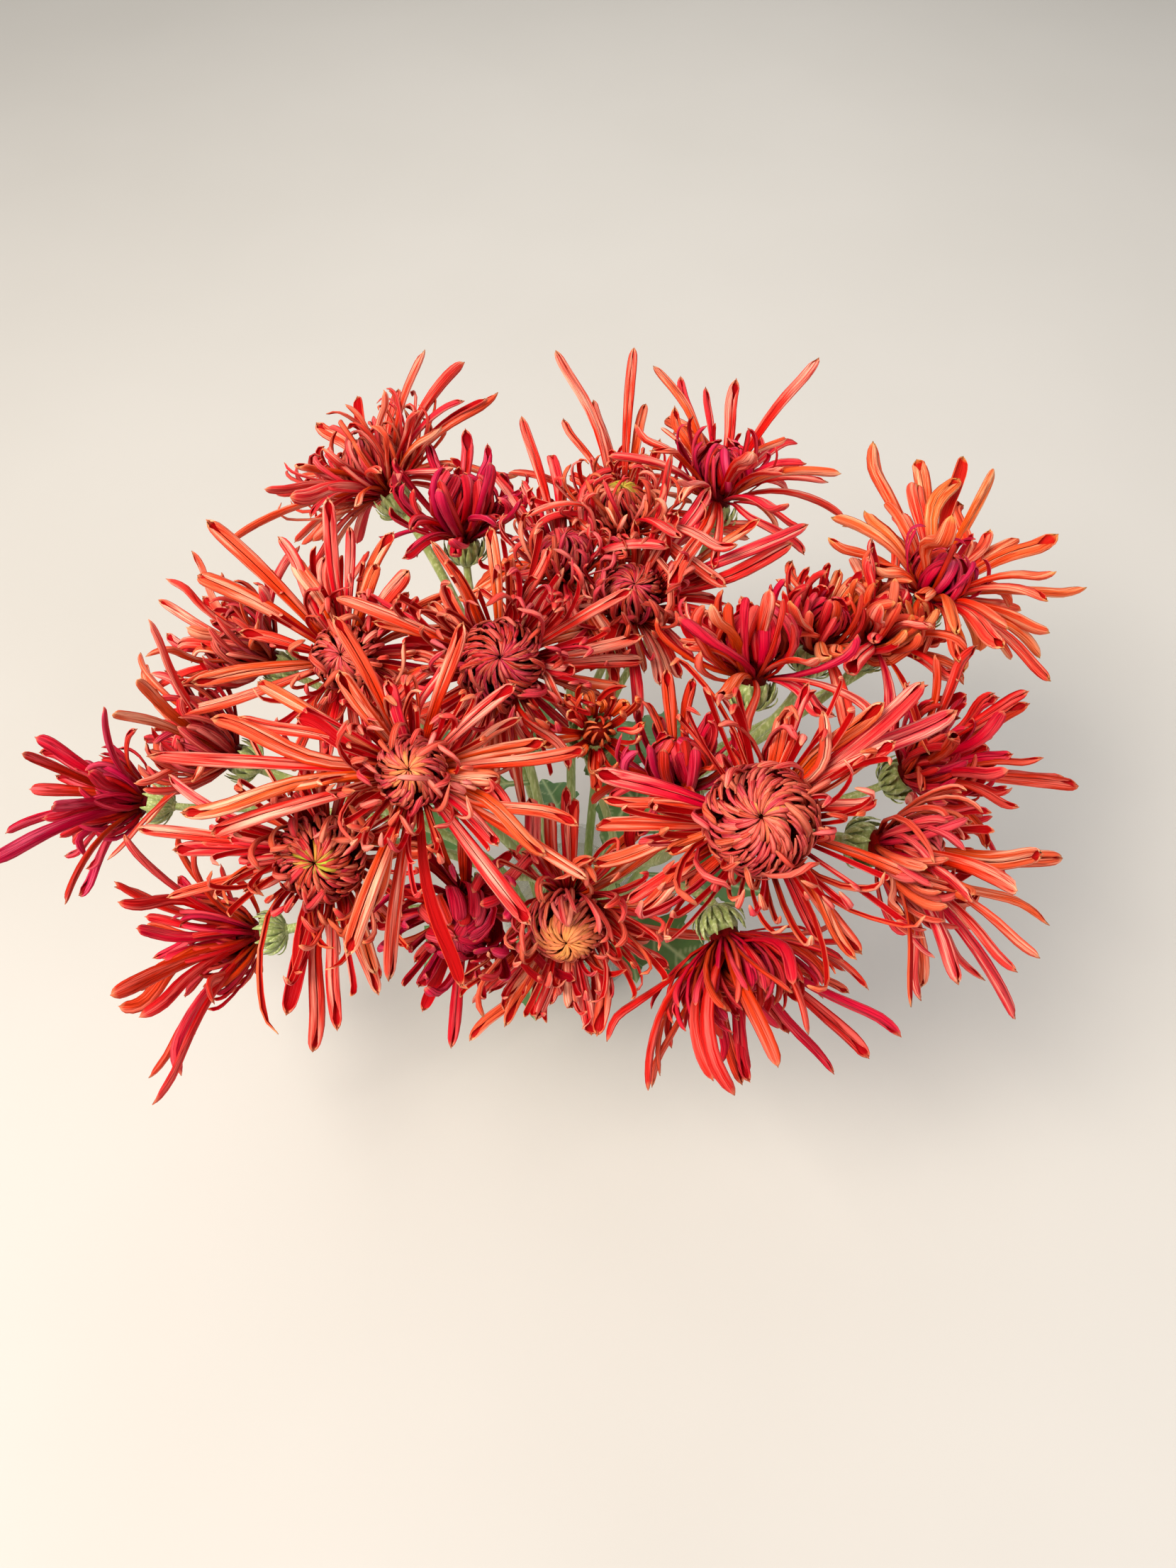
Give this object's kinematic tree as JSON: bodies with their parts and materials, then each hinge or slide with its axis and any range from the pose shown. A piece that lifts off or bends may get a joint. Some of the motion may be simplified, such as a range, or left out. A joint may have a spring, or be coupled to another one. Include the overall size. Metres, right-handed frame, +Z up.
{
  "type": "vase of cut spider chrysanthemums",
  "caption": "Low clear glass vase of water with a loose dome of cut spider chrysanthemums on leafy green stems; long coral quilled florets ring each dusky core.",
  "frame": {"origin": "the middle of the vase's base, on the surface that it stands on", "axes": "+Z up, +X along the bouquet's widest spread, -Y towards the viewer"},
  "size_m": [0.5007, 0.3516, 0.3501],
  "materials": {
    "vase_glass": "polished",
    "water": "polished",
    "stem_green": "satin",
    "leaf_green": "satin",
    "florets_coral": "satin",
    "florets_magenta": "satin",
    "florets_orange": "satin"
  },
  "bodies": {
    "root": {"vase": "vase_glass", "water": "water", "stem_01": "stem_green", "stem_02": "stem_green", "stem_03": "stem_green", "stem_04": "stem_green", "stem_05": "stem_green", "stem_06": "stem_green", "stem_07": "stem_green", "stem_08": "stem_green", "stem_09": "stem_green", "stem_10": "stem_green", "stem_11": "stem_green", "stem_12": "stem_green", "stem_13": "stem_green", "stem_14": "stem_green", "stem_15": "stem_green", "stem_16": "stem_green", "stem_17": "stem_green", "flower_head_01": "florets_coral", "flower_head_02": "florets_magenta", "flower_head_03": "florets_coral", "flower_head_04": "florets_coral", "flower_head_05": "florets_coral", "flower_head_06": "florets_coral", "flower_head_07": "florets_coral", "flower_head_08": "florets_coral", "flower_head_09": "florets_coral", "flower_head_10": "florets_coral", "flower_head_11": "florets_coral", "flower_head_12": "florets_coral", "flower_head_13": "florets_coral", "flower_head_14": "florets_coral", "flower_head_15": "florets_magenta", "flower_head_16": "florets_coral", "flower_head_17": "florets_orange", "flower_head_18": "florets_magenta", "flower_head_19": "florets_coral", "flower_head_20": "florets_magenta", "flower_head_21": "florets_orange", "flower_head_22": "florets_orange", "flower_head_23": "florets_coral", "flower_head_24": "florets_coral", "flower_head_25": "florets_coral", "flower_head_26": "florets_coral", "leaf_01": "leaf_green", "leaf_02": "leaf_green", "leaf_03": "leaf_green", "leaf_04": "leaf_green", "leaf_05": "leaf_green", "leaf_06": "leaf_green", "leaf_07": "leaf_green", "leaf_08": "leaf_green", "leaf_09": "leaf_green", "leaf_10": "leaf_green", "leaf_11": "leaf_green", "leaf_12": "leaf_green", "leaf_13": "leaf_green", "leaf_14": "leaf_green", "leaf_15": "leaf_green"}
  },
  "joints": []
}
